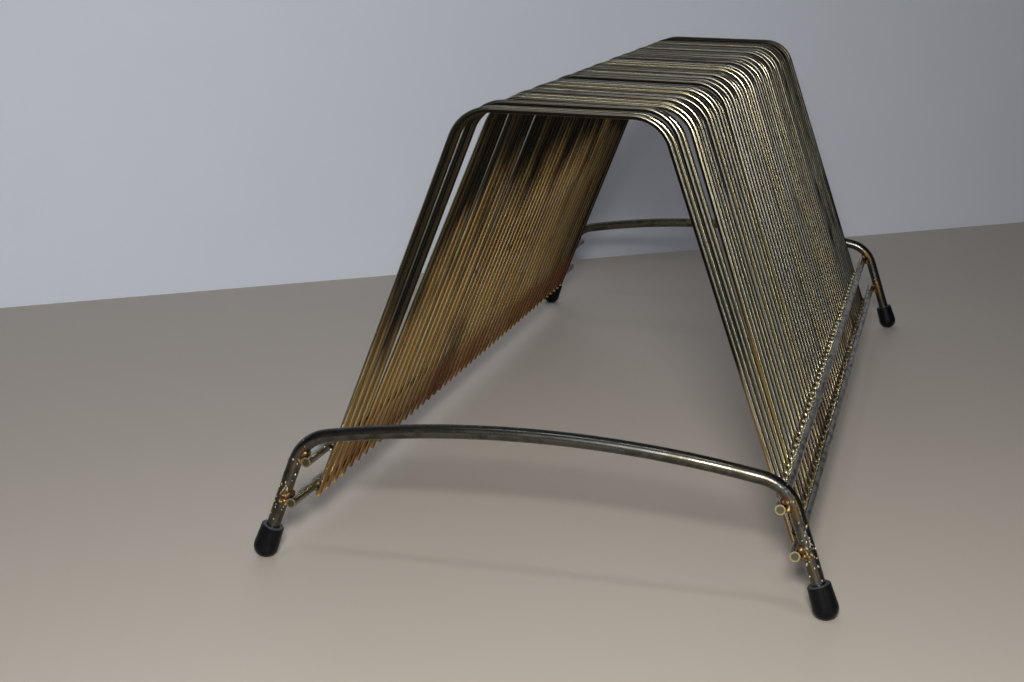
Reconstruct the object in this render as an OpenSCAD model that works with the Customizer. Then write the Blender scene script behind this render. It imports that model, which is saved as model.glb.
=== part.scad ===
// Record storage stand: a welded wire rack that holds records upright between hoops.
// Two bent end frames stand on rubber feet and carry four rails, and a row of
// hoops is welded to the inner side of the rails. A record stands in each gap
// between two hoops, with its lower edge on the upper rails.
//
// The rack is 464 mm long, 208 mm wide and 163 mm high. The origin is on the
// surface that it stands on, under the middle of the rack. X runs across the
// rack, Y along it from the front frame to the back one, and Z points up.

/* [Stance] */
// Spread of the feet across the rack, from contact point to contact point
feet_spread = 199.1; // [180:0.1:230]
// Outward slope of the end frames' legs, measured from upright
leg_splay = 19.2; // [17:0.1:21]

/* [End frames] */
// Wire diameter of the end frames
frame_wire = 5; // [4:0.1:6]
// Height of the crossbar at its middle, at the wire centre
crossbar_h = 54.1; // [48:0.1:60]
// Radius of the gentle arch of the crossbar
crossbar_arch_r = 425; // [350:5:900]
// Bend radius where crossbar and leg meet, at the wire centre
frame_bend_r = 15.5; // [13:0.5:20]

/* [Rails] */
// Diameter of the four rails
rail_d = 3.7; // [3:0.1:5]
// How far the upper rails lie below the middle of the crossbar, between centres
upper_rail_drop = 16.4; // [15:0.1:20]
// Height of the two lower rails, at their centre
lower_rail_h = 22; // [20:0.1:24]
// How far the rails stick out past the centre of the end frames
rail_overhang = 3.4; // [2.8:0.1:8]

/* [Hoops] */
// Number of hoops
hoop_count = 48; // [20:1:48]
// Spacing of the hoops along the rails
hoop_pitch = 8.53; // [8:0.01:12]
// Distance from the front frame to the first hoop
first_hoop = 19.3; // [14:0.1:30]
// Distance from the last hoop to the back frame
last_hoop = 34.8; // [14:0.1:60]
// Wire diameter of the hoops
hoop_wire = 2.2; // [1.6:0.1:2.6]
// Height of the hoops' flat tops, at the wire centre
hoop_h = 161.9; // [130:0.1:175]
// Bend radius of the hoops' upper corners, at the wire centre
hoop_bend_r = 14; // [8:0.5:18]
// Height of the cut ends of the hoops, below the lower rails
hoop_tip_h = 18.2; // [15:0.1:19]

/* [Hand work and wear] */
// Number of hoops in the front group, each later group has one more
front_group = 4; // [3:1:8]
// How far the last hoop of the front group leans back, at its top
front_lean = 3; // [0:0.25:5]
// How far the first hoop of the second group leans back, at its top
second_lean = 7; // [0:0.25:8]
// How far the last hoop of the second group leans forward, at its top
second_fall = 2.5; // [0:0.25:3]
// How far the hoops of the third group lean back, at their tops
third_lean = 1.25; // [0:0.25:4]
// How far all the hoops behind them lean back, at their tops
back_lean = 4.5; // [0:0.25:6]
// How far the second group's first hoop stands over to the right at its top, fading to the back
right_sway = 2; // [0:0.25:3]
// Largest stray of a hoop's top along the rack
top_stray = 0.7; // [0:0.1:1]
// Largest stray of a hoop's height
height_stray = 0.6; // [0:0.1:1]

/* [Rubber feet] */
// Largest diameter of a foot, at its ball end
foot_d = 9; // [8:0.1:11]
// Diameter of a foot at its rim
foot_rim_d = 8.2; // [7.6:0.1:9]
// Length of a foot from the tip of its ball to its rim
foot_len = 12.9; // [11:0.1:16]
// Depth of the socket that takes the wire
foot_socket = 9; // [6:0.1:10]
// Depth of the worn flat that the foot stands on
foot_flat = 0.3; // [0.2:0.1:0.8]
// Width of the chamfer round the rim
rim_chamfer = 0.4; // [0.2:0.1:0.6]

/* [Wire work] */
// How much thinner the wire is drawn where it is bent
bend_draw = 0.06; // [0.04:0.01:0.12]
// How far a bend reaches into the wire on either side of it
bend_lap = 0.2; // [0.1:0.05:0.3]
// Gap at each weld, so that every wire stays a solid of its own
weld_gap = 0.03; // [0.03:0.01:0.2]
// Slip between a foot's socket and the wire in it
socket_slip = 0.06; // [0.03:0.01:0.2]

/* [Hidden] */
$fn = 48;

brass = "#8c7c56";
dark_brass = "#5d5642";
bright_brass = "#a8966a";
rubber = "#16181c";

function hoop_name(i) = str("hoop_", i < 10 ? "0" : "", i);
HOOPS = [for (i = [1:hoop_count]) hoop_name(i)];
FRAMES = ["front_end_frame", "back_end_frame"];
RAILS = ["upper_left_rail", "upper_right_rail", "lower_left_rail", "lower_right_rail"];
FEET = ["front_left_foot", "front_right_foot", "back_left_foot", "back_right_foot"];

// The end frames stand apart by the row of hoops and the free gap before and behind it,
// from wire centre to wire centre.
frame_gap = first_hoop + (hoop_count - 1) * hoop_pitch + last_hoop;
front_y = -frame_gap / 2;
back_y = frame_gap / 2;

// A sloping leg lies where x * cos(splay) + z * sin(splay) = reach, on either side.
function reach_of(splay, x, z) = x * cos(splay) + z * sin(splay);
function leg_x(splay, reach, z) = (reach - z * sin(splay)) / cos(splay);

foot_r = foot_d / 2;
ball_h = foot_r - foot_flat;
frame_reach = reach_of(leg_splay, feet_spread / 2, ball_h);

// The crossbar is an arc about [0, arch_z]. It turns into the corner bend at arch_half
// degrees either side of its middle, where both arcs share their tangent.
arch_z = crossbar_h - crossbar_arch_r;
arch_half = asin((frame_reach - frame_bend_r - arch_z * sin(leg_splay))
                 / (crossbar_arch_r - frame_bend_r)) - leg_splay;
corner_x = (crossbar_arch_r - frame_bend_r) * sin(arch_half);
corner_z = (crossbar_arch_r - frame_bend_r) * cos(arch_half) + arch_z;

// The wire ends on the floor of its foot's socket, along the leg from the ball's centre.
socket_floor = foot_len - foot_r - foot_socket;
wire_end = socket_floor + socket_slip;

// A rail lies against the inner side of the frames, on the leg or higher up in the bend.
upper_rail_h = crossbar_h - upper_rail_drop;
rail_len = frame_gap + 2 * rail_overhang;
rail_touch = (frame_wire + rail_d) / 2 + weld_gap;
bend_touch = frame_bend_r - rail_touch;
function on_bend(h) = h - corner_z > bend_touch * sin(leg_splay);
function rail_x(h) = on_bend(h) ? corner_x + sqrt(bend_touch ^ 2 - (h - corner_z) ^ 2)
                                : leg_x(leg_splay, frame_reach - rail_touch, h);

// The hoops' legs lie against the inner side of both rails.
hoop_touch = (rail_d + hoop_wire) / 2 + weld_gap;
hoop_splay = atan((rail_x(lower_rail_h) - rail_x(upper_rail_h)) / (upper_rail_h - lower_rail_h));
hoop_reach = reach_of(hoop_splay, rail_x(lower_rail_h), lower_rail_h) - hoop_touch;

// The hoops lean about the middle between the upper and the lower welds.
pivot_h = (upper_rail_h + lower_rail_h) / 2;
function hoop_y(i) = front_y + first_hoop + (i - 1) * hoop_pitch;

// The hoops have settled in groups. The front three take one hoop more each than the one
// before, and the hoops behind them all lean alike. A share runs from 0 to 1 over a group.
function group_start(k) = 1 + k * front_group + k * (k - 1) / 2;
function group_share(i, k) = (i - group_start(k)) / (front_group + k - 1);
function settled_lean(i) =
    i < group_start(1) ? front_lean * group_share(i, 0)
    : i < group_start(2) ? second_lean - (second_lean + second_fall) * group_share(i, 1)
    : i < group_start(3) ? third_lean
    : back_lean;

// Small strays from one hoop to the next that repeat on every build
golden_turn = 137.5;
half_golden_turn = 222.5;
function top_push(i) = settled_lean(i) + top_stray * sin(golden_turn * i);
function hoop_top(i) = hoop_h + height_stray * sin(half_golden_turn * i + golden_turn);
function lean_angle(i) = atan(top_push(i) / (hoop_top(i) - pivot_h));

// The hoops behind the front group also stand over to the right. Each turns about the point
// where the normals of its two legs meet, and is set in by the room that the turned legs need
// between their rails.
sway_h = pivot_h - leg_x(hoop_splay, hoop_reach, pivot_h) * tan(hoop_splay);
function sway_share(i) =
    i < group_start(1) ? 0 : (hoop_count - i) / (hoop_count - group_start(1));
function sway_angle(i) = atan(right_sway * sway_share(i) / (hoop_top(i) - sway_h));
function sway_room(i) =
    (upper_rail_h - lower_rail_h) / 2 / cos(hoop_splay) * sin(sway_angle(i));

// Lays what is drawn in the XY plane upright, across the rack.
module across(y) {
    translate([0, y, 0]) rotate([90, 0, 0]) children();
}

// Straight wire from a point along a direction, both in the drawing plane.
module straight_wire(from, direction, length, d) {
    translate(from) rotate([0, 0, direction]) rotate([0, 90, 0]) cylinder(d = d, h = length);
}

// Wire on an arc about a centre, between two directions seen from it.
module arc_wire(centre, r, start, end, d, steps) {
    translate(centre) rotate([0, 0, start]) rotate_extrude(angle = end - start, $fn = steps)
        translate([r, 0]) circle(d = d);
}

// A bend joins two wires, a little thinner than they are and lapped into both of them.
module bend(centre, r, start, end, d) {
    lap = bend_lap / r * 180 / PI;
    arc_wire(centre, r, start - lap, end + lap, d - bend_draw, 96);
}

// The two sides of a wire shape, mirrored about its middle.
module both_sides() {
    children();
    mirror([1, 0, 0]) children();
}

module end_frame(y) {
    bend_end = [corner_x + frame_bend_r * cos(leg_splay), corner_z + frame_bend_r * sin(leg_splay)];
    leg_len = (bend_end[1] - ball_h) / cos(leg_splay) - wire_end;
    color(dark_brass) across(y) {
        arc_wire([0, arch_z], crossbar_arch_r, 90 - arch_half, 90 + arch_half, frame_wire, 720);
        both_sides() {
            bend([corner_x, corner_z], frame_bend_r, leg_splay, 90 - arch_half, frame_wire);
            straight_wire(bend_end, leg_splay - 90, leg_len, frame_wire);
        }
    }
}

module rail(side, h) {
    color(brass) translate([side * rail_x(h), -rail_len / 2, h]) rotate([-90, 0, 0])
        cylinder(d = rail_d, h = rail_len);
}

module foot(side, y) {
    color(rubber) difference() {
        translate([side * feet_spread / 2, y, ball_h]) rotate([0, -side * leg_splay, 0]) difference() {
            union() {
                sphere(d = foot_d);
                cylinder(d1 = foot_d, d2 = foot_rim_d, h = foot_len - foot_r - rim_chamfer);
                translate([0, 0, foot_len - foot_r - rim_chamfer])
                    cylinder(d1 = foot_rim_d, d2 = foot_rim_d - 2 * rim_chamfer, h = rim_chamfer);
            }
            translate([0, 0, socket_floor])
                cylinder(d = frame_wire + 2 * socket_slip, h = foot_socket + foot_r);
        }
        translate([side * feet_spread / 2, y, -foot_d]) cylinder(d = 3 * foot_d, h = foot_d);
    }
}

module hoop(i) {
    top = hoop_top(i);
    bend_z = top - hoop_bend_r;
    bend_x = leg_x(hoop_splay, hoop_reach - sway_room(i) - hoop_bend_r, bend_z);
    bend_end = [bend_x + hoop_bend_r * cos(hoop_splay), bend_z + hoop_bend_r * sin(hoop_splay)];
    leg_len = (bend_end[1] - hoop_tip_h) / cos(hoop_splay);
    color(bright_brass) translate([0, hoop_y(i), pivot_h]) rotate([-lean_angle(i), 0, 0])
        translate([0, 0, -pivot_h]) across(0)
        translate([0, sway_h]) rotate([0, 0, -sway_angle(i)]) translate([0, -sway_h]) {
            straight_wire([-bend_x, top], 0, 2 * bend_x, hoop_wire);
            both_sides() {
                bend([bend_x, bend_z], hoop_bend_r, hoop_splay, 90, hoop_wire);
                straight_wire(bend_end, hoop_splay - 90, leg_len, hoop_wire);
            }
        }
}

end_frame(front_y);  // front_end_frame
end_frame(back_y);  // back_end_frame
rail(-1, upper_rail_h);  // upper_left_rail
rail(1, upper_rail_h);  // upper_right_rail
rail(-1, lower_rail_h);  // lower_left_rail
rail(1, lower_rail_h);  // lower_right_rail
foot(-1, front_y);  // front_left_foot
foot(1, front_y);  // front_right_foot
foot(-1, back_y);  // back_left_foot
foot(1, back_y);  // back_right_foot
for (i = [1:hoop_count]) hoop(i);
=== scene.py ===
"""Looks of the record storage stand.

The stand is a welded rack of brass-plated steel wire on four rubber feet. Its wires and feet
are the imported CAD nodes, which get their real finishes here. The welds and the spatter round
them are added as pieces of their own. Lengths are in metres, in the frame of the CAD model:
X across the stand, Y along it, Z up.
"""

from __future__ import annotations

import logging
import math
import random
from dataclasses import dataclass
from enum import Enum
from typing import Iterable, Sequence, Union

import bpy
from mathutils import Matrix, Vector
from mathutils.bvhtree import BVHTree


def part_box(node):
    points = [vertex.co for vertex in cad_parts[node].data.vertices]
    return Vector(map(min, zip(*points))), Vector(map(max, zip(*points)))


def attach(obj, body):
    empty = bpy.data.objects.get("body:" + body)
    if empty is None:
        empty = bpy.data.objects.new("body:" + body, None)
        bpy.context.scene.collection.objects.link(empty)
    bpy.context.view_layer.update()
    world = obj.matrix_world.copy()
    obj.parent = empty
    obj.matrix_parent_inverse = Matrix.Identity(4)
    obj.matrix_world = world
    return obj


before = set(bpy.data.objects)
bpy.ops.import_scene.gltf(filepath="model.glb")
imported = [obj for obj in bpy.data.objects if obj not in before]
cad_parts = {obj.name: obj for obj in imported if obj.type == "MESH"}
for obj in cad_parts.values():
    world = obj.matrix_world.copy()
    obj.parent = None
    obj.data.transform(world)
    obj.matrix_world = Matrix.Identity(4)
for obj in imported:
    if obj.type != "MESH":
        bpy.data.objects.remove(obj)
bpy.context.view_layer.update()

LOG = logging.getLogger("record_stand")
MM = 0.001
# How near a hoop's lowest or highest point a vertex counts as its tip or its top.
END_BAND = 1.2 * MM

Value = Union[float, int, bool, str, Sequence[float], bpy.types.NodeSocket]


class End(Enum):
    """The two ends of the stand, by the sign of Y."""

    FRONT = -1
    BACK = 1


class Side(Enum):
    """The two sides of the stand, by the sign of X."""

    LEFT = -1
    RIGHT = 1


class Level(Enum):
    """The two levels of rails, by the first word of their nodes' names."""

    UPPER = "upper"
    LOWER = "lower"


# ---------------------------------------------------------------- colour and nodes


def linear(hex_colour: str) -> tuple[float, float, float, float]:
    """Turns an sRGB hex colour into linear RGBA.

    Args:
        hex_colour: Six hex digits after a hash sign.

    Returns:
        Red, green and blue as linear light, and an alpha of 1.
    """
    parts = [int(hex_colour[i : i + 2], 16) / 255 for i in (1, 3, 5)]
    light = [p / 12.92 if p <= 0.04045 else ((p + 0.055) / 1.055) ** 2.4 for p in parts]
    return (light[0], light[1], light[2], 1.0)


def add_node(
    tree: bpy.types.NodeTree, kind: str, inputs: dict[Union[str, int], Value] | None = None, **settings: Value
) -> bpy.types.Node:
    """Adds a node with its settings, its fixed inputs and its links.

    Args:
        tree: The shader or geometry tree that takes the node.
        kind: The node's type name.
        inputs: Input name or index, with a value or the output socket that feeds it.
        **settings: Properties of the node itself.

    Returns:
        The new node.
    """
    node = tree.nodes.new(kind)
    for key, value in settings.items():
        setattr(node, key, value)
    for key, value in (inputs or {}).items():
        if isinstance(value, bpy.types.NodeSocket):
            tree.links.new(value, node.inputs[key])
        else:
            node.inputs[key].default_value = value
    return node


class Surface:
    """A shader tree under construction, with the masks that the finishes share."""

    def __init__(self, name: str) -> None:
        """Starts a material of this name with an empty tree."""
        self.material = bpy.data.materials.new(name)
        self.material.use_nodes = True
        self.tree = self.material.node_tree
        self.tree.nodes.clear()
        coordinates = add_node(self.tree, "ShaderNodeTexCoord")
        self.place = coordinates.outputs["Object"]
        self.normal = coordinates.outputs["Normal"]
        self.x, self.y, self.z = self.split(self.place)

    def split(self, vector: bpy.types.NodeSocket) -> list[bpy.types.NodeSocket]:
        """Returns a vector's three parts."""
        return list(add_node(self.tree, "ShaderNodeSeparateXYZ", {0: vector}).outputs)

    def maths(self, operation: str, *values: Value) -> bpy.types.NodeSocket:
        """Returns the result of one Math node on these values."""
        inputs = dict(enumerate(values))
        return add_node(self.tree, "ShaderNodeMath", inputs, operation=operation).outputs[0]

    def ramp(self, value: bpy.types.NodeSocket, start: float, end: float) -> bpy.types.NodeSocket:
        """Returns a smooth rise from 0 at start to 1 at end.

        Args:
            value: What is measured.
            start: The value that gives 0.
            end: The value that gives 1, above or below start.

        Returns:
            The factor between 0 and 1.
        """
        rising = start < end
        inputs = {"Value": value, 1: min(start, end), 2: max(start, end), 3: 0.0 if rising else 1.0,
                  4: 1.0 if rising else 0.0}
        node = add_node(self.tree, "ShaderNodeMapRange", inputs, interpolation_type="SMOOTHSTEP")
        return node.outputs[0]

    def noise(
        self, size: float, detail: float = 3.0, roughness: float = 0.5, stretch: Sequence[float] = (1, 1, 1),
        seed: float = 0.0,
    ) -> bpy.types.NodeSocket:
        """Returns noise whose features have a real size.

        Args:
            size: Width of a typical patch, in metres.
            detail: How many finer layers it has.
            roughness: How strong the finer layers are.
            stretch: How much longer the patches are along X, Y and Z.
            seed: Turns one pattern into another.

        Returns:
            The noise value, around 0.5.
        """
        scale = [1 / s for s in stretch]
        mapped = add_node(self.tree, "ShaderNodeMapping", {"Vector": self.place, "Scale": scale})
        inputs = {"Vector": mapped.outputs[0], "W": seed, "Scale": 1 / size, "Detail": detail,
                  "Roughness": roughness}
        return add_node(self.tree, "ShaderNodeTexNoise", inputs, noise_dimensions="4D").outputs[0]

    def far_from(self, spots: Sequence[tuple[float, float]]) -> bpy.types.NodeSocket:
        """Returns the distance to the nearest of these lines along Y.

        Args:
            spots: Each line's distance from the middle plane and its height.

        Returns:
            The distance, the same on both sides of the stand.
        """
        nearest = None
        for off, up in spots:
            across = self.maths("SUBTRACT", self.maths("ABSOLUTE", self.x), off)
            rise = self.maths("SUBTRACT", self.z, up)
            squares = [self.maths("MULTIPLY", part, part) for part in (across, rise)]
            away = self.maths("SQRT", self.maths("ADD", *squares))
            nearest = away if nearest is None else self.maths("MINIMUM", nearest, away)
        return nearest

    def mix(self, factor: Value, first: Value, second: Value) -> bpy.types.NodeSocket:
        """Returns a colour between two others.

        Args:
            factor: Share of the second colour.
            first: A hex colour or a colour socket.
            second: A hex colour or a colour socket.

        Returns:
            The mixed colour.
        """
        colours = [linear(c) if isinstance(c, str) else c for c in (first, second)]
        inputs = {0: factor, 6: colours[0], 7: colours[1]}
        return add_node(self.tree, "ShaderNodeMix", inputs, data_type="RGBA").outputs[2]

    def between(self, factor: Value, low: float, high: float) -> bpy.types.NodeSocket:
        """Returns a number that runs from low to high with the factor."""
        return add_node(self.tree, "ShaderNodeMix", {0: factor, 2: low, 3: high}).outputs[0]

    def bump(self, height: bpy.types.NodeSocket, depth: float) -> bpy.types.NodeSocket:
        """Returns the normal of a surface that this height roughens by this depth in metres."""
        inputs = {"Height": height, "Distance": depth, "Strength": 1.0}
        return add_node(self.tree, "ShaderNodeBump", inputs).outputs[0]

    def shade(self, colour: Value, roughness: Value, normal: Value, metallic: Value,
              **more: Value) -> bpy.types.Material:
        """Closes the tree with its surface shader.

        Args:
            colour: The base colour.
            roughness: The roughness.
            normal: The bumped normal.
            metallic: 1 for bare metal, 0 for rubber, or a mask between them.
            **more: Fixed values of other shader inputs, with underscores for spaces.

        Returns:
            The finished material.
        """
        inputs = {"Base Color": colour, "Roughness": roughness, "Normal": normal, "Metallic": metallic}
        inputs.update({key.replace("_", " "): value for key, value in more.items()})
        shader = add_node(self.tree, "ShaderNodeBsdfPrincipled", inputs)
        self.end = add_node(self.tree, "ShaderNodeOutputMaterial", {"Surface": shader.outputs[0]})
        return self.material

    def open_back(self) -> None:
        """Makes a piece of the stage clear to whatever is behind it."""
        behind = add_node(self.tree, "ShaderNodeNewGeometry").outputs["Backfacing"]
        clear = add_node(self.tree, "ShaderNodeBsdfTransparent").outputs[0]
        front = self.end.inputs["Surface"].links[0].from_socket
        shown = add_node(self.tree, "ShaderNodeMixShader", {0: behind, 1: front, 2: clear}).outputs[0]
        self.tree.links.new(shown, self.end.inputs["Surface"])


# ---------------------------------------------------------------- finishes


@dataclass(frozen=True)
class HoopFinish:
    """Brass-plated drawn steel wire, once lacquered.

    Bright drawn wire under a thin brass plate throws hard, pale highlights along its length.
    Inner faces are painted golden brown as a painted reflection of a brown floor. Much of the
    wire is painted olive black, partly as real tarnish and partly as painted shade.
    """

    name: str = "brass_plated_drawn_wire"
    outside: str = "#bdbaaa"
    yellow: str = "#b3ab8a"
    # Painted reflection: inner faces are coloured golden brown, as a brown floor would show in them.
    inside_reflection: str = "#a8854a"
    # Dark colour used both for real tarnish and for painted shade on the hoops.
    tarnish: str = "#211e18"
    weld_heat: str = "#70442a"
    # Bare cut ends, coloured bright gold to stand in for their highlight: partly real, partly painted
    # highlight.
    cut_tip_highlight: str = "#d8bd72"
    patch: float = 22 * MM
    mottle: float = 2.4 * MM
    grain: float = 0.35 * MM
    next_wire: float = 6 * MM
    # Height band above which the inner side is painted darker: painted shade from the tops.
    painted_shade_from: float = 88 * MM
    painted_shade_full: float = 140 * MM
    ragged: float = 90 * MM
    # The front hoops get that painted shade lower down, as a painted dark reflection.
    front_shade_y: tuple[float, float] = (-150 * MM, -185 * MM)
    front_shade_drop: float = 45 * MM
    # Inner faces are painted darker further back, as painted shade.
    depth_shade_y: tuple[float, float] = (20 * MM, 200 * MM)
    # All faces are painted darker towards the back, as painted shade.
    back_shade_y: tuple[float, float] = (70 * MM, 210 * MM)
    heat_top: float = 37 * MM
    heat_bottom: float = 19.5 * MM
    heat_fade: float = 5 * MM
    relief: float = 0.002 * MM

    def build(self) -> bpy.types.Material:
        """Returns the material of the hoops.

        The inner side is painted darker above an uneven height, lower on the front hoops. This is
        painted shade from the tops and a painted dark reflection, and faces that look up get less of it.
        Inner faces further back and all faces towards the back are painted darker as painted shade.
        Random patches, spots and a per-wire tone add real tarnish, and each wire also differs a little
        from its neighbours.
        """
        s = Surface(self.name)
        facing = s.split(s.normal)
        outward = s.maths("MULTIPLY", facing[0], s.maths("SIGN", s.x))
        # Faces that look up get less of the painted shade.
        less_shade_facing_up = s.between(s.ramp(facing[2], -0.1, 0.35), 1.0, 0.35)
        clouds = s.noise(self.patch, stretch=(1, 1, 2.5), seed=3.1)
        mottle = s.noise(self.mottle, detail=4.0, roughness=0.6, stretch=(5, 1, 5), seed=7.7)
        by_wire = s.noise(self.next_wire, detail=1.0, stretch=(40, 1, 40), seed=2.2)
        # Outward-facing sides with a mottled edge; the inner sides get the painted reflection colour.
        facing_out_mottled = s.maths("ADD", outward, s.maths("MULTIPLY", s.maths("SUBTRACT", mottle, 0.5), 0.9))
        bright = s.mix(s.ramp(by_wire, 0.4, 0.6), self.outside, self.yellow)
        colour = s.mix(s.ramp(facing_out_mottled, -0.45, 0.0), self.inside_reflection, bright)
        height = s.maths("ADD", s.z, s.maths("MULTIPLY", s.maths("SUBTRACT", clouds, 0.5), self.ragged))
        front = s.ramp(s.y, *self.front_shade_y)
        height = s.maths("ADD", height, s.maths("MULTIPLY", front, self.front_shade_drop))
        # Painted shade: the inner upper part is darkened where the tops shadow it.
        dark = s.maths("MULTIPLY", s.ramp(height, self.painted_shade_from, self.painted_shade_full),
                       s.ramp(outward, 0.5, -0.1))
        old = s.maths("MULTIPLY", s.ramp(clouds, 0.52, 0.7), 0.45)
        dark = s.maths("MAXIMUM", s.maths("MULTIPLY", s.maths("MULTIPLY", dark, less_shade_facing_up), 0.95), old)
        # Painted shade: inner faces darker further back.
        depth_shade = s.maths("MULTIPLY", s.ramp(s.y, *self.depth_shade_y), s.ramp(outward, 0.1, -0.3))
        dark = s.maths("MAXIMUM", dark, s.maths("MULTIPLY", depth_shade, 0.45))
        inner_more = s.between(s.ramp(outward, -0.3, 0.1), 0.6, 0.1)
        spots = s.maths("MULTIPLY", s.ramp(mottle, 0.62, 0.7), inner_more)
        dark = s.maths("MAXIMUM", dark, spots)
        uneven = s.between(s.ramp(outward, -0.4, 0.0), 0.15, 0.42)
        dark = s.maths("ADD", dark, s.maths("MULTIPLY", s.ramp(by_wire, 0.56, 0.4), uneven))
        # Painted shade: everything darker towards the back.
        dark = s.maths("ADD", dark, s.maths("MULTIPLY", s.ramp(s.y, *self.back_shade_y), 0.4))
        dark = s.maths("MINIMUM", dark, 1.0)
        # The dark mask mixes real tarnish (old patches, spots, per-wire tone) with painted shade.
        colour = s.mix(dark, colour, self.tarnish)
        low = s.maths("MULTIPLY", s.ramp(s.z, self.heat_top + self.heat_fade, self.heat_top - self.heat_fade),
                      s.ramp(s.z, self.heat_bottom - 1 * MM, self.heat_bottom + 1 * MM))
        heat = s.maths("MULTIPLY", low, s.between(s.ramp(clouds, 0.35, 0.6), 0.6, 1.0))
        heat = s.maths("MULTIPLY", heat, s.between(s.ramp(outward, -0.3, 0.1), 0.8, 0.3))
        colour = s.mix(heat, colour, self.weld_heat)
        # Painted highlight: the cut tips below the lower rail are coloured bright gold.
        tip = s.ramp(s.z, self.heat_bottom - 0.5 * MM, self.heat_bottom - 1 * MM)
        colour = s.mix(tip, colour, self.cut_tip_highlight)
        roughness = s.between(s.maths("MAXIMUM", dark, heat), 0.14, 0.34)
        grain = s.noise(self.grain, detail=2.0, stretch=(60, 1, 60), seed=1.3)
        relief = s.maths("ADD", grain, s.maths("MULTIPLY", mottle, 0.6))
        return s.shade(colour, roughness, s.bump(relief, self.relief), 1.0)


@dataclass(frozen=True)
class FrameFinish:
    """Heavy brass-plated steel wire, handled and aged.

    The plate is thin over the whole frame, so the wire is a dark olive gunmetal with brass left
    in patches. Round the welds the heat has left it rough, golden and rust-stained.
    """

    joints: tuple[tuple[float, float], ...]
    name: str = "aged_brass_plated_frame_wire"
    plate: str = "#686352"
    grey: str = "#5c5c5a"
    tarnish: str = "#2b2a22"
    gold: str = "#6f5d38"
    rust: str = "#6b4420"
    patch: float = 30 * MM
    mottle: float = 3.5 * MM
    pit: float = 0.9 * MM
    grain: float = 0.4 * MM
    blister: float = 2.2 * MM
    blotch: float = 5 * MM
    stain_reach: float = 6.5 * MM
    burn_reach: float = 13 * MM
    relief: float = 0.05 * MM

    def build(self) -> bpy.types.Material:
        """Returns the material of the two end frames."""
        s = Surface(self.name)
        clouds = s.noise(self.patch, stretch=(2.2, 1, 1), seed=5.2)
        mottle = s.noise(self.mottle, detail=5.0, roughness=0.65, stretch=(2, 1, 2), seed=2.4)
        pits = add_node(s.tree, "ShaderNodeTexVoronoi", {"Vector": s.place, "Scale": 1 / self.pit})
        pit = s.maths("MULTIPLY", s.ramp(pits.outputs["Distance"], 0.28, 0.12), s.ramp(mottle, 0.56, 0.68))
        colour = s.mix(s.ramp(clouds, 0.38, 0.54), self.plate, self.grey)
        dark = s.maths("MAXIMUM", s.maths("MULTIPLY", s.ramp(mottle, 0.45, 0.62), 0.6), pit)
        colour = s.mix(dark, colour, self.tarnish)
        away = s.far_from(self.joints)
        near = s.ramp(away, self.stain_reach, 0.35 * self.stain_reach)
        burnt = s.ramp(away, self.burn_reach, 0.3 * self.burn_reach)
        blotch = s.noise(self.blotch, detail=4.0, seed=9.6)
        patchy = s.maths("MULTIPLY", s.ramp(blotch, 0.45, 0.6), 0.7)
        colour = s.mix(s.maths("MULTIPLY", burnt, patchy), colour, self.gold)
        stain = s.maths("MULTIPLY", near, s.ramp(mottle, 0.46, 0.58))
        colour = s.mix(s.maths("MULTIPLY", stain, 0.75), colour, self.rust)
        roughness = s.between(s.maths("MAXIMUM", dark, stain), 0.25, 0.42)
        grain = s.noise(self.grain, detail=2.0, stretch=(20, 1, 20), seed=4.4)
        blisters = s.noise(self.blister, detail=2.0, seed=6.9)
        relief = s.maths("SUBTRACT", s.maths("MULTIPLY", grain, 0.2), s.maths("MULTIPLY", pit, 0.5))
        relief = s.maths("ADD", relief, s.maths("MULTIPLY", s.maths("MULTIPLY", burnt, blisters), 5.0))
        return s.shade(colour, roughness, s.bump(relief, self.relief), s.between(stain, 1.0, 0.6))


@dataclass(frozen=True)
class RailFinish:
    """Plated steel rod, cropped to length.

    The plate has dulled to a bluish grey. The cut ends are bare steel: a burnished ring where
    the shears closed, and a darker torn centre.
    """

    name: str
    centre: tuple[float, float]
    radius: float
    plate: str = "#a39e92"
    tarnish: str = "#3a3832"
    brass: str = "#8b8468"
    cut_ring: str = "#a59c7c"
    cut_centre: str = "#5f5c4c"
    patch: float = 26 * MM
    mottle: float = 2.0 * MM
    grain: float = 0.3 * MM
    relief: float = 0.015 * MM

    def build(self) -> bpy.types.Material:
        """Returns the material of the two rails at this level."""
        s = Surface(self.name)
        clouds = s.noise(self.patch, stretch=(1, 2.5, 1), seed=6.3)
        mottle = s.noise(self.mottle, detail=4.0, roughness=0.6, stretch=(1, 3, 1), seed=8.1)
        colour = s.mix(s.ramp(clouds, 0.45, 0.66), self.plate, self.brass)
        dark = s.maths("MULTIPLY", s.ramp(mottle, 0.42, 0.62), 0.8)
        colour = s.mix(dark, colour, self.tarnish)
        out = s.far_from([self.centre])
        end = s.ramp(s.maths("ABSOLUTE", s.split(s.normal)[1]), 0.6, 0.8)
        cut = s.mix(s.ramp(out, 0.62 * self.radius, 0.8 * self.radius), self.cut_centre, self.cut_ring)
        colour = s.mix(end, colour, cut)
        roughness = s.between(dark, 0.16, 0.4)
        grain = s.noise(self.grain, detail=2.0, stretch=(1, 20, 1), seed=2.9)
        relief = s.maths("ADD", grain, s.maths("MULTIPLY", mottle, 0.5))
        return s.shade(colour, roughness, s.bump(relief, self.relief), 1.0)


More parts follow.
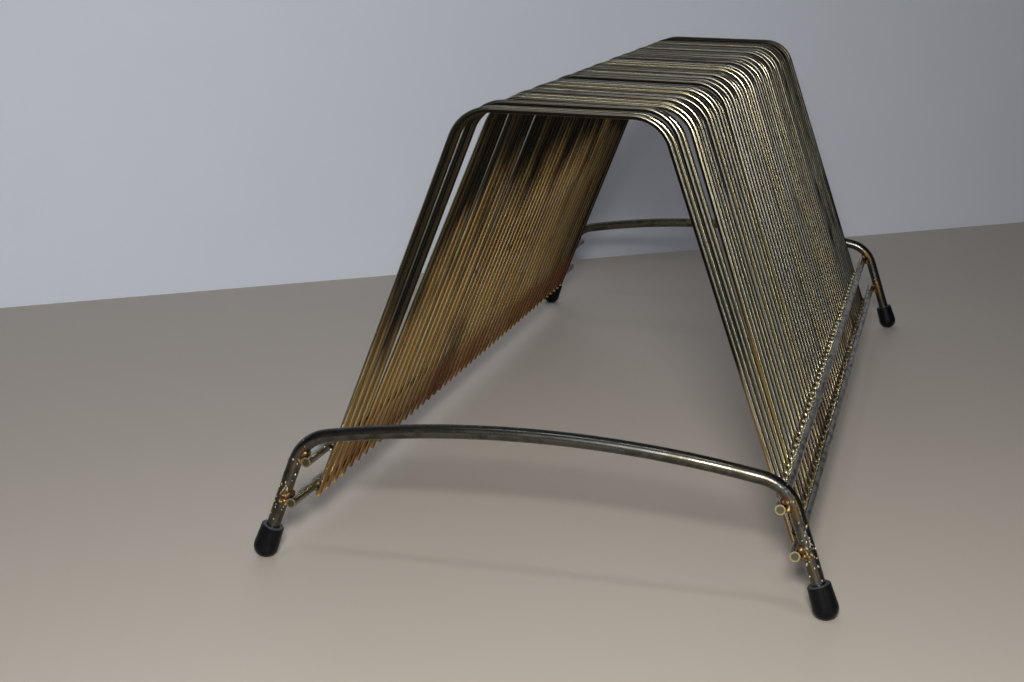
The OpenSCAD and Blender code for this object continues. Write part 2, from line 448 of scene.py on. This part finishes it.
@dataclass(frozen=True)
class WeldFinish:
    """Weld metal, plated over with the rest.

    The plate took well on the smooth beads, so they show a yellower brass than the wire. On
    rough arc welds there are scale and rust in the hollows. Welds below a given height are
    made darker and rougher.
    """

    name: str
    hollows: float
    brass: str
    polish: float = 0.24
    darken_below: float = 0.0
    darken_fade: float = 4 * MM
    scale: str = "#4a3c26"
    rust: str = "#a55f25"
    lump: float = 1.6 * MM
    grit: float = 0.5 * MM
    relief: float = 0.08 * MM

    def build(self) -> bpy.types.Material:
        """Returns the material of the welds."""
        s = Surface(self.name)
        lumps = s.noise(self.lump, detail=3.0, seed=1.9)
        grit = s.noise(self.grit, detail=3.0, roughness=0.7, seed=5.5)
        scaled = s.maths("MULTIPLY", s.ramp(lumps, 0.45, 0.62), self.hollows)
        colour = s.mix(scaled, self.brass, self.scale)
        stain = s.maths("MULTIPLY", s.ramp(grit, 0.5, 0.62), 0.7 * self.hollows)
        colour = s.mix(stain, colour, self.rust)
        # Welds below the given height are made darker and rougher.
        low_darkening = s.maths("MULTIPLY", s.ramp(s.z, self.darken_below, self.darken_below - self.darken_fade), 0.8)
        colour = s.mix(low_darkening, colour, self.scale)
        dull = s.maths("MAXIMUM", s.ramp(lumps, 0.4, 0.65), low_darkening)
        roughness = s.between(dull, self.polish, self.polish + 0.22)
        return s.shade(colour, roughness, s.bump(s.maths("ADD", lumps, grit), self.relief), 0.95)


@dataclass(frozen=True)
class RubberFinish:
    """Moulded black rubber.

    Smooth from its mould and faintly blue under the light, with a little dust, scuffed where it
    stands on the table and worn grey along its thin rim.
    """

    rim_centre: tuple[float, float]
    axis: tuple[float, float]
    name: str = "moulded_black_rubber"
    body: str = "#08090c"
    dust: str = "#2a2d32"
    worn: str = "#3e4145"
    scuff_top: float = 2.2 * MM
    rim: float = 0.3 * MM
    grain: float = 0.25 * MM
    smear: float = 3 * MM
    relief: float = 0.03 * MM

    def build(self) -> bpy.types.Material:
        """Returns the material of the feet."""
        s = Surface(self.name)
        smear = s.noise(self.smear, detail=5.0, roughness=0.6, seed=4.9)
        grain = s.noise(self.grain, detail=2.0, seed=3.3)
        bloom = s.maths("MULTIPLY", s.ramp(smear, 0.52, 0.78), 0.3)
        scuff = s.maths("MULTIPLY", s.ramp(s.z, self.scuff_top, 0.3 * MM), s.ramp(grain, 0.35, 0.65))
        dusty = s.maths("MAXIMUM", bloom, s.maths("MULTIPLY", scuff, 0.5))
        colour = s.mix(dusty, self.body, self.dust)
        across = s.maths("SUBTRACT", s.maths("ABSOLUTE", s.x), self.rim_centre[0])
        up = s.maths("SUBTRACT", s.z, self.rim_centre[1])
        parts = [s.maths("MULTIPLY", off, share) for off, share in zip((across, up), self.axis)]
        past_rim = s.maths("ADD", *parts)
        edge = s.ramp(past_rim, -self.rim, -0.5 * self.rim)
        colour = s.mix(s.maths("MULTIPLY", edge, 0.8), colour, self.worn)
        roughness = s.between(dusty, 0.34, 0.6)
        normal = s.bump(s.maths("ADD", grain, smear), self.relief)
        return s.shade(colour, roughness, normal, 0.0, Specular_IOR_Level=0.15)


# ---------------------------------------------------------------- geometry


@dataclass(frozen=True)
class Blob:
    """One lump of weld metal: where it is, how it is turned and its three half sizes."""

    place: Vector
    turn: Matrix
    half: Vector


@dataclass
class WeldTree:
    """A geometry tree that puts a rough lump on every point of a mesh.

    The points carry their lump's half sizes and turn as attributes.
    """

    name: str
    segments: int = 8
    rings: int = 6
    roughness: float = 0.25 * MM
    ripple: float = 1.4 * MM
    merge: float = 0.0
    seed: int = 11

    def build(self, material: bpy.types.Material) -> tuple[bpy.types.NodeTree, dict[str, str]]:
        """Makes the tree.

        Args:
            material: The finish of the lumps.

        Returns:
            The tree, and the identifier of each of its named inputs.
        """
        tree = bpy.data.node_groups.new(self.name, "GeometryNodeTree")
        face = tree.interface
        face.new_socket("Geometry", in_out="INPUT", socket_type="NodeSocketGeometry")
        named = {}
        for label, kind in (("Roughness", "NodeSocketFloat"), ("Ripple", "NodeSocketFloat"),
                            ("Seed", "NodeSocketFloat")):
            named[label] = face.new_socket(label, in_out="INPUT", socket_type=kind).identifier
        face.new_socket("Geometry", in_out="OUTPUT", socket_type="NodeSocketGeometry")
        given = add_node(tree, "NodeGroupInput")
        half = add_node(tree, "GeometryNodeInputNamedAttribute", {"Name": "half"}, data_type="FLOAT_VECTOR")
        turn = add_node(tree, "GeometryNodeInputNamedAttribute", {"Name": "turn"}, data_type="FLOAT_VECTOR")
        ball = add_node(tree, "GeometryNodeMeshUVSphere",
                        {"Radius": 1.0, "Segments": self.segments, "Rings": self.rings})
        lumps = add_node(tree, "GeometryNodeInstanceOnPoints", {
            "Points": given.outputs["Geometry"],
            "Instance": ball.outputs["Mesh"],
            "Rotation": turn.outputs["Attribute"],
            "Scale": half.outputs["Attribute"],
        })
        solid = add_node(tree, "GeometryNodeRealizeInstances", {"Geometry": lumps.outputs[0]})
        place = add_node(tree, "GeometryNodeInputPosition")
        waves = add_node(tree, "ShaderNodeMath", {0: 1.0, 1: given.outputs["Ripple"]}, operation="DIVIDE")
        noise = add_node(tree, "ShaderNodeTexNoise", {
            "Vector": place.outputs[0],
            "W": given.outputs["Seed"],
            "Scale": waves.outputs[0],
            "Detail": 2.0,
        }, noise_dimensions="4D")
        push = add_node(tree, "ShaderNodeMapRange",
                        {"Value": noise.outputs[0], 1: 0.3, 2: 0.7, 3: -1.0, 4: 1.0})
        reach = add_node(tree, "ShaderNodeMath", {0: push.outputs[0], 1: given.outputs["Roughness"]},
                         operation="MULTIPLY")
        normal = add_node(tree, "GeometryNodeInputNormal")
        move = add_node(tree, "ShaderNodeVectorMath", {0: normal.outputs[0], 3: reach.outputs[0]},
                        operation="SCALE")
        rough = add_node(tree, "GeometryNodeSetPosition", {
            "Geometry": solid.outputs[0],
            "Offset": move.outputs[0],
        })
        smooth = add_node(tree, "GeometryNodeSetShadeSmooth", {"Geometry": rough.outputs[0]})
        dressed = add_node(tree, "GeometryNodeSetMaterial",
                           {"Geometry": smooth.outputs[0], "Material": material})
        add_node(tree, "NodeGroupOutput", {"Geometry": dressed.outputs[0]})
        return tree, named

    def grow(self, piece: str, blobs: Iterable[Blob], material: bpy.types.Material) -> None:
        """Makes one plain mesh of all these lumps, which rides on the stand.

        Args:
            piece: The name of the new piece.
            blobs: The lumps.
            material: Their finish.
        """
        blobs = list(blobs)
        points = bpy.data.meshes.new(piece + "_points")
        points.from_pydata([b.place for b in blobs], [], [])
        for key, values in (("half", [b.half for b in blobs]),
                            ("turn", [b.turn.to_euler() for b in blobs])):
            layer = points.attributes.new(key, "FLOAT_VECTOR", "POINT")
            layer.data.foreach_set("vector", [part for value in values for part in value])
        carrier = bpy.data.objects.new(piece + "_carrier", points)
        bpy.context.scene.collection.objects.link(carrier)
        tree, named = self.build(material)
        modifier = carrier.modifiers.new("welds", "NODES")
        modifier.node_group = tree
        given = {"Roughness": self.roughness, "Ripple": self.ripple, "Seed": float(self.seed)}
        for label, value in given.items():
            modifier[named[label]] = value
        if self.merge:
            skin = carrier.modifiers.new("flow", "REMESH")
            skin.mode = "VOXEL"
            skin.voxel_size = self.merge
            skin.use_smooth_shade = True
        graph = bpy.context.evaluated_depsgraph_get()
        mesh = bpy.data.meshes.new_from_object(carrier.evaluated_get(graph), depsgraph=graph)
        mesh.name = piece
        mesh.materials.clear()
        mesh.materials.append(material)
        bpy.data.objects.remove(carrier)
        made = bpy.data.objects.new(piece, mesh)
        bpy.context.scene.collection.objects.link(made)
        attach(made, "root")
        LOG.info("%s: %d lumps, %d faces", piece, len(blobs), len(mesh.polygons))


def upright_line(node: str) -> tuple[Vector, Vector]:
    """Finds how a hoop leans.

    Args:
        node: The hoop's CAD node.

    Returns:
        Y and Z at the hoop's tips and at its top, as two vectors (0, y, z).
    """
    low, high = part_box(node)
    points = [v.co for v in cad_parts[node].data.vertices]
    tips = [p.y for p in points if p.z < low.z + END_BAND]
    tops = [p.y for p in points if p.z > high.z - END_BAND]
    return Vector((0, sum(tips) / len(tips), low.z)), Vector((0, sum(tops) / len(tops), high.z))


@dataclass
class Rails:
    """The four rails: their places, read from the CAD model."""

    upper: Vector
    lower: Vector
    radius: float

    @classmethod
    def from_frame(cls) -> Rails:
        """Returns the rails with their centres on the right side and their radius."""
        centres = []
        for level in Level:
            low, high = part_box(f"{level.value}_right_rail")
            centres.append((low + high) / 2)
            radius = (high.z - low.z) / 2
        return cls(centres[0], centres[1], radius)

    @property
    def slope(self) -> float:
        """The slope of the hoops' legs from upright, in radians."""
        return math.atan2(self.lower.x - self.upper.x, self.upper.z - self.lower.z)

    def centre(self, level: Level) -> Vector:
        """Returns the centre of the right rail at this level."""
        return self.upper if level is Level.UPPER else self.lower

    def dress(self) -> None:
        """Gives the rails their finish."""
        for level in Level:
            centre = self.centre(level)
            finish = RailFinish(f"dulled_plated_rod_{level.value}", (centre.x, centre.z), self.radius).build()
            for side in Side:
                paint(f"{level.value}_{side.name.lower()}_rail", finish)


@dataclass
class Hoops:
    """The row of hoops and the spot welds that hold them on the rails."""

    rails: Rails
    tree: WeldTree
    scatter: random.Random
    bead: tuple[float, float, float] = (0.6 * MM, 0.9 * MM, 0.85 * MM)
    valley: float = 1.25 * MM
    proud: float = 0.3 * MM
    # Spot welds below this height are made darker and rougher.
    darken_below: float = 36 * MM

    def nodes(self) -> list[str]:
        """Returns the names of the hoops' CAD nodes, front to back."""
        return sorted(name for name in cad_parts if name.startswith("hoop_"))

    def welds(self) -> Iterable[Blob]:
        """Yields the two beads above and below every crossing of a hoop and a rail."""
        slope = self.rails.slope
        for node in self.nodes():
            tip, top = upright_line(node)
            for level in Level:
                rail = self.rails.centre(level)
                share = (rail.z - tip.z) / (top.z - tip.z)
                y = tip.y + share * (top.y - tip.y)
                for side in Side:
                    out = Vector((side.value * math.cos(slope), 0, math.sin(slope)))
                    up = Vector((-side.value * math.sin(slope), 0, math.cos(slope)))
                    touch = Vector((side.value * rail.x, y, rail.z)) - out * self.rails.radius
                    turn = Matrix.Rotation(side.value * slope, 3, "Y").inverted()
                    for flank in (-1, 1):
                        size = Vector(part * self.scatter.uniform(0.85, 1.2) for part in self.bead)
                        yield Blob(touch + up * (flank * self.valley) + out * self.proud, turn, size)

    def dress(self) -> None:
        """Gives the hoops their finish and adds their welds."""
        finish = HoopFinish().build()
        for node in self.nodes():
            paint(node, finish)
        plated = WeldFinish("plated_spot_weld", 0.1, "#cfc8a8", darken_below=self.darken_below).build()
        self.tree.grow("hoop_welds", self.welds(), plated)


@dataclass(frozen=True)
class Joint:
    """Where a rail lies against an end frame."""

    point: Vector
    normal: Vector
    level: Level
    end: End

    @property
    def along(self) -> Vector:
        """The direction of the frame's wire at the joint."""
        return self.normal.cross(Vector((0, 1, 0)))

    def at(self, along: float, off: float, out: float) -> Vector:
        """Returns a place near the joint.

        Args:
            along: How far along the frame's wire.
            off: How far from the frame towards the rail.
            out: How far outwards along the rail, away from the hoops.

        Returns:
            The place in the frame of the model.
        """
        return self.point + self.along * along + self.normal * off + Vector((0, self.end.value * out, 0))


@dataclass
class EndFrames:
    """The two end frames, with the arc welds that hold the rails on them.

    Lumps lie along the rail at lump_places and along the frame at run_places, in millimetres.
    """

    rails: Rails
    tree: WeldTree
    spatter_tree: WeldTree
    scatter: random.Random
    wire: float = 5 * MM
    valley: float = 1.6 * MM
    lump_size: float = 1.05 * MM
    lump_places: tuple[float, ...] = (-1.8, -1.0, -0.2, 0.6, 1.4, 2.0)
    cap_size: float = 0.9 * MM
    cap_out: float = 1.9 * MM
    run_places: tuple[float, ...] = (-1.4, 0.2, 1.5)
    run_out: float = 2.4 * MM
    upper_spatter: int = 6
    lower_spatter: int = 34
    spatter_spread: float = 5 * MM
    spatter_reach: float = 11 * MM

    def skins(self) -> dict[End, BVHTree]:
        """Returns the surface of each frame's own mesh, to look places up on."""
        found = {}
        for end in End:
            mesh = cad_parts[f"{end.name.lower()}_end_frame"].data
            points = [v.co for v in mesh.vertices]
            found[end] = BVHTree.FromPolygons(points, [p.vertices for p in mesh.polygons])
        return found

    def joints(self) -> list[Joint]:
        """Returns the eight joints, found on the frames' own meshes."""
        found = []
        for end, skin in self.skins().items():
            for side in Side:
                for level in Level:
                    rail = self.rails.centre(level)
                    centre = Vector((side.value * rail.x, end.value * frame_span() / 2, rail.z))
                    point = skin.find_nearest(centre)[0]
                    normal = Vector((centre.x - point.x, 0, centre.z - point.z)).normalized()
                    found.append(Joint(point, normal, level, end))
        return found

    def lump(self, place: Vector, size: float) -> Blob:
        """Returns one lump of about this half size."""
        half = Vector(self.scatter.uniform(0.8, 1.2) * size for _ in range(3))
        return Blob(place, Matrix.Rotation(self.scatter.uniform(0, math.pi), 3, "Y"), half)

    def welds(self) -> Iterable[Blob]:
        """Yields the lumps of every joint: both valleys beside the rail and the outer face."""
        stray = self.scatter.uniform
        for joint in self.joints():
            swell = stray(0.8, 1.15)
            for flank in (-1, 1):
                for out in self.lump_places:
                    place = joint.at(flank * self.valley * stray(0.9, 1.15), stray(-0.5, 0.0) * MM,
                                     (out + stray(-0.2, 0.2)) * MM)
                    yield self.lump(place, self.lump_size * swell)
                place = joint.at(flank * stray(0.6, 1.6) * MM, stray(-1.4, -0.8) * MM, self.cap_out)
                yield self.lump(place, self.cap_size * swell)
            if joint.level is Level.LOWER:
                for along in self.run_places:
                    place = joint.at(along * MM, stray(-2.6, -1.6) * MM, self.run_out)
                    yield self.lump(place, stray(0.6, 0.95) * MM)

    def spatter(self) -> Iterable[Blob]:
        """Yields small beads thrown on the legs, most of them round the lower joints."""
        skins = self.skins()
        for joint in self.joints():
            for _ in range(self.upper_spatter if joint.level is Level.UPPER else self.lower_spatter):
                along = self.scatter.gauss(0, self.spatter_spread)
                turn = self.scatter.uniform(0.2, 0.95) * math.pi
                size = self.scatter.uniform(0.16, 0.42) * MM
                if abs(along) < self.spatter_reach:
                    radius = 0.5 * self.wire
                    near = joint.at(along, radius * (math.cos(turn) - 1), radius * math.sin(turn))
                    place = skins[joint.end].find_nearest(near)[0]
                    yield Blob(place, Matrix.Identity(3), Vector((size, size, 1.5 * size)))

    def dress(self) -> None:
        """Gives the frames their finish and adds their welds."""
        spots = tuple((self.rails.centre(level).x, self.rails.centre(level).z) for level in Level)
        finish = FrameFinish(spots).build()
        for end in End:
            paint(f"{end.name.lower()}_end_frame", finish)
        rough = WeldFinish("plated_arc_weld", 0.9, "#7d6f4c", 0.36).build()
        self.tree.grow("frame_welds", self.welds(), rough)
        pale = WeldFinish("bare_weld_spatter", 0.3, "#bdb8a6").build()
        self.spatter_tree.grow("weld_spatter", self.spatter(), pale)


@dataclass
class Feet:
    """The four push-on rubber feet."""

    spread: float = 199.1 * MM
    ball_height: float = 4.2 * MM
    ball_to_rim: float = 8.4 * MM
    splay: float = math.radians(19.2)

    def dress(self) -> None:
        """Gives the feet their finish, which follows the rim of the leaning foot."""
        axis = (-math.sin(self.splay), math.cos(self.splay))
        rim = (self.spread / 2 + axis[0] * self.ball_to_rim, self.ball_height + axis[1] * self.ball_to_rim)
        rubber = RubberFinish(rim, axis).build()
        for end in End:
            for side in Side:
                paint(f"{end.name.lower()}_{side.name.lower()}_foot", rubber)


def frame_span() -> float:
    """Returns the distance between the two end frames, from wire centre to wire centre."""
    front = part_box("front_end_frame")
    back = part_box("back_end_frame")
    return (back[0].y + back[1].y) / 2 - (front[0].y + front[1].y) / 2


def paint(node: str, material: bpy.types.Material) -> None:
    """Puts a finish on a CAD node.

    Args:
        node: The node's name.
        material: Its finish.
    """
    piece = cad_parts[node]
    piece.data.materials.clear()
    piece.data.materials.append(material)
    LOG.info("%s: %s", node, material.name)


# ---------------------------------------------------------------- studio


@dataclass(frozen=True)
class Camera:
    """The camera of the photograph, worked out from the stand's own wires."""

    place: tuple[float, float, float] = (0.1292, -0.7862, 0.2254)
    azimuth: float = math.radians(14.0)
    elevation: float = math.radians(13.54)
    roll: float = math.radians(1.25)
    lens: float = 61.78
    sensor: float = 36.0

    def build(self) -> None:
        """Adds the camera and makes it the scene's own."""
        a, e, r = self.azimuth, self.elevation, self.roll
        back = Vector((math.sin(a) * math.cos(e), -math.cos(a) * math.cos(e), math.sin(e)))
        level_right = Vector((math.cos(a), math.sin(a), 0))
        level_up = back.cross(level_right)
        right = level_right * math.cos(r) + level_up * math.sin(r)
        up = level_up * math.cos(r) - level_right * math.sin(r)
        data = bpy.data.cameras.new("camera")
        data.lens = self.lens
        data.sensor_width = self.sensor
        data.clip_start = 0.01
        camera = bpy.data.objects.new("camera", data)
        turn = Matrix((right, up, back)).transposed().to_4x4()
        camera.matrix_world = Matrix.Translation(self.place) @ turn
        bpy.context.scene.collection.objects.link(camera)
        bpy.context.scene.camera = camera


@dataclass(frozen=True)
class Lamp:
    """A soft square or oblong lamp that faces the stand.

    Azimuth is 0 in front of the stand and 90 on its right, and elevation is above the table,
    both in degrees. Width and height are those of the lamp, and power is in watts. The spread in
    degrees is that of a honeycomb before it, which keeps its light off the table beneath it.
    """

    name: str
    azimuth: float
    elevation: float
    distance: float
    width: float
    height: float
    power: float
    colour: str
    spread: float = 150
    aim_height: float = 70 * MM

    def build(self) -> None:
        """Adds the lamp to the scene."""
        a, e = math.radians(self.azimuth), math.radians(self.elevation)
        away = Vector((math.sin(a) * math.cos(e), -math.cos(a) * math.cos(e), math.sin(e)))
        data = bpy.data.lights.new(self.name, "AREA")
        data.shape = "RECTANGLE"
        data.size, data.size_y = self.width, self.height
        data.energy = self.power
        data.color = linear(self.colour)[:3]
        data.spread = math.radians(self.spread)
        lamp = bpy.data.objects.new(self.name, data)
        aim = Vector((0, 0, self.aim_height))
        turn = away.to_track_quat("Z", "Y").to_matrix().to_4x4()
        lamp.matrix_world = Matrix.Translation(aim + away * self.distance) @ turn
        bpy.context.scene.collection.objects.link(lamp)


@dataclass(frozen=True)
class Studio:
    """A plain pale table top before a plain pale wall, under soft lamps."""

    floor: str = "#b4aca1"
    wall: str = "#dae1ee"
    shade: str = "#8f8a84"
    air: str = "#cfd4de"
    air_low: float = 0.06
    air_high: float = 0.04
    wall_left: tuple[float, float] = (-3.0, -2.316)
    wall_right: tuple[float, float] = (3.0, 3.26)
    wall_height: float = 2.5
    floor_reach: float = 3.0
    lamps: tuple[Lamp, ...] = (
        Lamp("key", 9, 18, 0.86, 0.1, 0.1, 4.15, "#fffcf8"),
        Lamp("right_strip", 42, 10.5, 0.7, 0.03, 0.36, 0.186, "#fffaf4"),
        Lamp("overhead_left", -21, 60, 0.9, 0.18, 0.06, 0.215, "#f8f8ff"),
        Lamp("overhead_right", 8, 60, 0.9, 0.2, 0.1, 0.357, "#f8f8ff"),
        Lamp("behind", 195, 40, 1.0, 0.3, 0.3, 0.43, "#f4f7ff"),
    )

    def slab(self, name: str, corners: Sequence[Vector], colour: str, roughness: float,
             from_front: bool) -> bpy.types.Object:
        """Adds a flat piece of the stage.

        Args:
            name: The name of the piece.
            corners: Its corners in order, anticlockwise as seen from its front.
            colour: Its hex colour.
            roughness: How matt it is.
            from_front: Whether it is there only for what looks at its front.

        Returns:
            The new piece.
        """
        mesh = bpy.data.meshes.new(name)
        mesh.from_pydata(list(corners), [], [list(range(len(corners)))])
        surface = Surface(name)
        tone = surface.noise(60 * MM, detail=2.0)
        uneven = surface.mix(surface.maths("MULTIPLY", tone, 0.06), colour, self.shade)
        finish = surface.shade(uneven, roughness, surface.bump(tone, 0.01 * MM), 0.0)
        if from_front:
            surface.open_back()
        mesh.materials.append(finish)
        piece = bpy.data.objects.new(name, mesh)
        bpy.context.scene.collection.objects.link(piece)
        return piece

    def build(self) -> None:
        """Sets up the stage, the lamps and the air."""
        quarters = ((-1, -1), (1, -1), (1, 1), (-1, 1))
        corners = [Vector((x * self.floor_reach, y * self.floor_reach, 0)) for x, y in quarters]
        self.slab("floor", corners, self.floor, 0.6, False)
        left, right = (Vector((*foot, 0)) for foot in (self.wall_left, self.wall_right))
        rise = Vector((0, 0, self.wall_height))
        wall = self.slab("wall", [left, right, right + rise, left + rise], self.wall, 0.9, True)
        wall.visible_shadow = False
        for lamp in self.lamps:
            lamp.build()
        self.fill_with_air()
        bpy.context.scene.view_settings.view_transform = "Standard"

    def fill_with_air(self) -> None:
        """Makes the room's light: pale round the horizon and dim overhead."""
        world = bpy.data.worlds.new("studio_air")
        world.use_nodes = True
        tree = world.node_tree
        tree.nodes.clear()
        heading = add_node(tree, "ShaderNodeTexCoord").outputs["Generated"]
        height = add_node(tree, "ShaderNodeSeparateXYZ", {0: heading}).outputs["Z"]
        strength = add_node(tree, "ShaderNodeMapRange", {
            "Value": height, 1: 0.05, 2: 0.4, 3: self.air_low, 4: self.air_high,
        }, interpolation_type="SMOOTHSTEP").outputs[0]
        glow = add_node(tree, "ShaderNodeBackground", {"Color": linear(self.air), "Strength": strength})
        add_node(tree, "ShaderNodeOutputWorld", {"Surface": glow.outputs[0]})
        bpy.context.scene.world = world


def main() -> None:
    """Dresses the stand and sets up the studio."""
    logging.basicConfig(level=logging.INFO, format="%(name)s: %(message)s")
    scatter = random.Random(1958)
    rails = Rails.from_frame()
    rails.dress()
    Hoops(rails, WeldTree("hoop_weld_beads", roughness=0.1 * MM), scatter).dress()
    lumps = WeldTree("frame_weld_lumps", segments=24, rings=16, roughness=0.3 * MM, ripple=1.8 * MM,
                     merge=0.25 * MM)
    beads = WeldTree("spatter_beads", roughness=0.04 * MM)
    EndFrames(rails, lumps, beads, scatter).dress()
    Feet().dress()
    Camera().build()
    Studio().build()


if __name__ == "__main__":
    main()
